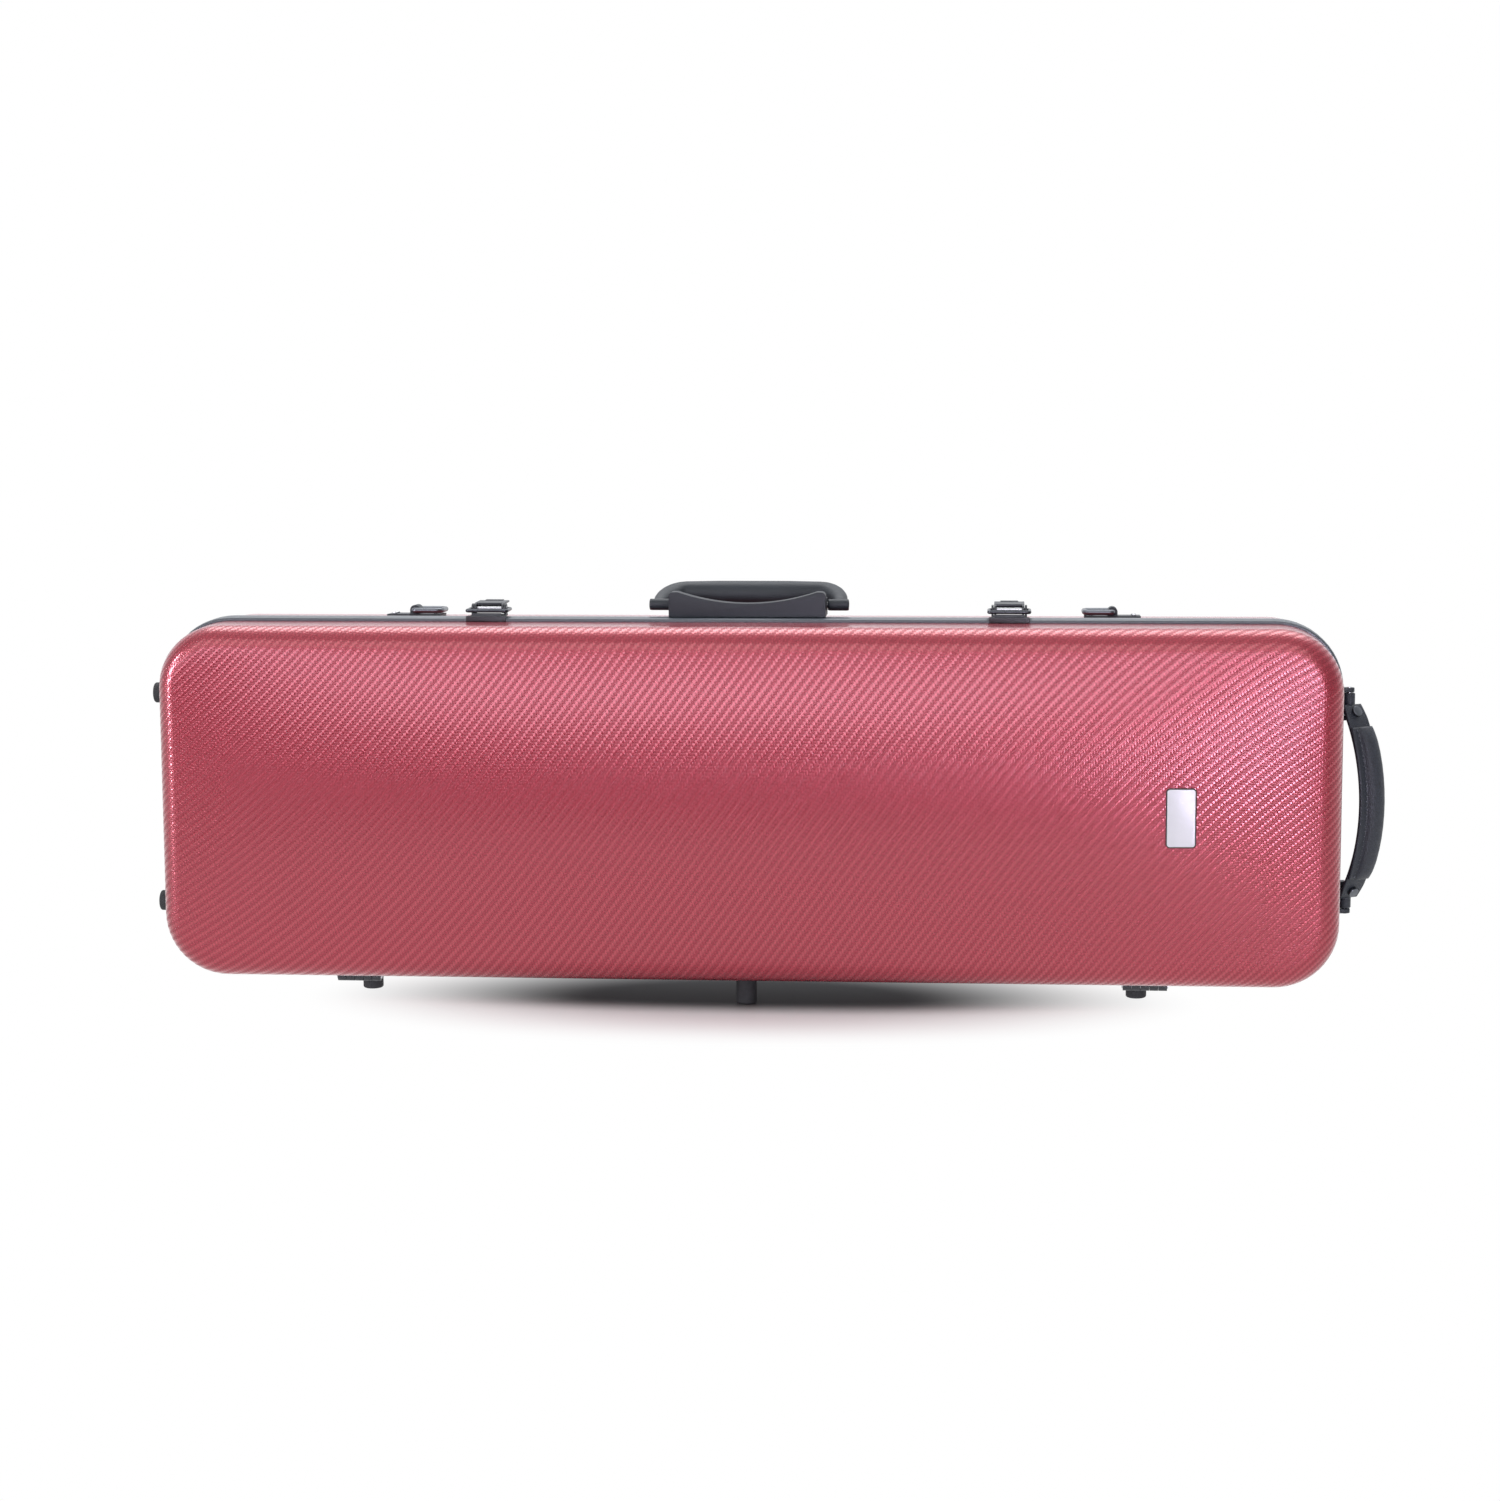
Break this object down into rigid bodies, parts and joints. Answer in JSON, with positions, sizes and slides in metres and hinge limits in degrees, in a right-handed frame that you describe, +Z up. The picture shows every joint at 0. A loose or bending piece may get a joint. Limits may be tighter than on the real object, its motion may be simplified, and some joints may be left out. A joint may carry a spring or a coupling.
{
  "type": "violin case",
  "caption": "Oblong hard case for a violin: crowned moulded lid hinged to a deeper shell, draw latches, folding handle, end strap handle, feet and padded inside.",
  "frame": {"origin": "centre of the lid foot's sole, on the floor the case stands on", "axes": "+X along the case to the end with the strap handle, +Y from the lid to the back, +Z up to the handle"},
  "size_m": [0.8423, 0.145, 0.2814],
  "materials": {
    "shell_red": "moulded twill relief, satin gloss",
    "valance_black": "satin black",
    "rubber_black": "matte",
    "lining_velvet": "short pile",
    "cradle_velvet": "short pile",
    "handle_plastic": "fine texture",
    "latch_black": "satin black",
    "wire_steel": "satin",
    "ring_dark": "dark nickel",
    "strap_leather": "grained, stitched",
    "plate_silver": "satin"
  },
  "bodies": {
    "bottom": {"bottom_shell": "shell_red", "bottom_valance": "valance_black", "seam_gasket": "rubber_black", "bottom_lining": "lining_velvet", "body_cradle": "cradle_velvet", "neck_block": "cradle_velvet", "suspension_pads": "cradle_velvet", "neck_strap": "cradle_velvet", "accessory_hinge_pin": "wire_steel", "rear_feet": "rubber_black", "end_pegs": "rubber_black", "foot_screws": "wire_steel", "hinge_case_leaves": "latch_black", "hinge_pins": "wire_steel", "hinge_case_screws": "wire_steel", "latch_bases": "latch_black", "latch_pins": "wire_steel", "handle_base": "handle_plastic", "handle_pins": "wire_steel", "handle_screws": "wire_steel", "ring_holders": "handle_plastic", "ring_rivets": "wire_steel", "strap_lugs": "handle_plastic", "strap_lug_pins": "wire_steel"},
    "lid": {"lid_shell": "shell_red", "lid_valance": "valance_black", "lid_lining": "lining_velvet", "name_plate": "plate_silver", "lid_foot": "rubber_black", "lid_foot_screw": "wire_steel", "hinge_lid_leaves": "latch_black", "hinge_lid_screws": "wire_steel", "latch_keepers": "latch_black", "bow_spinner_studs": "wire_steel", "bow_tip_sleeve": "lining_velvet"},
    "main_handle": {"handle_grip": "handle_plastic"},
    "left_lever": {"latch_left_lever": "latch_black"},
    "left_bail": {"latch_left_bail": "wire_steel"},
    "right_lever": {"latch_right_lever": "latch_black"},
    "right_bail": {"latch_right_bail": "wire_steel"},
    "left_ring": {"ring_left": "ring_dark"},
    "right_ring": {"ring_right": "ring_dark"},
    "strap_handle": {"end_strap": "strap_leather", "strap_pad": "strap_leather", "strap_snaps": "ring_dark"},
    "accessory_panel": {"accessory_lid": "cradle_velvet", "accessory_pull": "strap_leather"},
    "top_spinner": {"bow_spinner_top": "handle_plastic"},
    "bottom_spinner": {"bow_spinner_bottom": "handle_plastic"}
  },
  "joints": [
    {"name": "lid_hinge", "type": "hinge", "parent": "bottom", "child": "lid", "pos_m": [0, 0.0135, 0.01205], "axis": [1, 0, 0], "range_deg": [0, 105]},
    {"name": "handle_fold", "type": "hinge", "parent": "bottom", "child": "main_handle", "pos_m": [0, 0.0355, 0.268], "axis": [1, 0, 0], "range_deg": [0, 90]},
    {"name": "left_latch", "type": "hinge", "parent": "bottom", "child": "left_lever", "pos_m": [-0.176, 0.0225, 0.2663], "axis": [1, 0, 0], "range_deg": [0, 145]},
    {"name": "left_bail_swing", "type": "hinge", "parent": "left_lever", "child": "left_bail", "pos_m": [-0.176, 0.0285, 0.2655], "axis": [1, 0, 0], "range_deg": [-145, 0]},
    {"name": "right_latch", "type": "hinge", "parent": "bottom", "child": "right_lever", "pos_m": [0.176, 0.0225, 0.2663], "axis": [1, 0, 0], "range_deg": [0, 145]},
    {"name": "right_bail_swing", "type": "hinge", "parent": "right_lever", "child": "right_bail", "pos_m": [0.176, 0.0285, 0.2655], "axis": [1, 0, 0], "range_deg": [-145, 0]},
    {"name": "left_ring_swing", "type": "hinge", "parent": "bottom", "child": "left_ring", "pos_m": [-0.234, 0.06365, 0.26159], "axis": [0, -0.9994, 0.0349], "range_deg": [0, 165]},
    {"name": "right_ring_swing", "type": "hinge", "parent": "bottom", "child": "right_ring", "pos_m": [0.246, 0.06365, 0.26159], "axis": [0, 0.9994, -0.0349], "range_deg": [0, 165]},
    {"name": "strap_swing", "type": "hinge", "parent": "bottom", "child": "strap_handle", "pos_m": [0.4045, 0.0435, 0.1355], "axis": [0, 0, 1], "range_deg": [-20, 100]},
    {"name": "accessory_lid_hinge", "type": "hinge", "parent": "bottom", "child": "accessory_panel", "pos_m": [0.192, 0.0325, 0.1766], "axis": [1, 0, 0], "range_deg": [0, 92]},
    {"name": "top_spinner_turn", "type": "hinge", "parent": "lid", "child": "top_spinner", "pos_m": [-0.285, -0.02437, 0.197], "axis": [0, 1, 0], "range_deg": [-90, 90]},
    {"name": "bottom_spinner_turn", "type": "hinge", "parent": "lid", "child": "bottom_spinner", "pos_m": [-0.285, -0.02437, 0.081], "axis": [0, 1, 0], "range_deg": [-90, 90]}
  ],
  "couplings": [
    {"joint": "left_bail_swing", "follows": "left_latch", "ratio": -1},
    {"joint": "right_bail_swing", "follows": "right_latch", "ratio": -1}
  ]
}
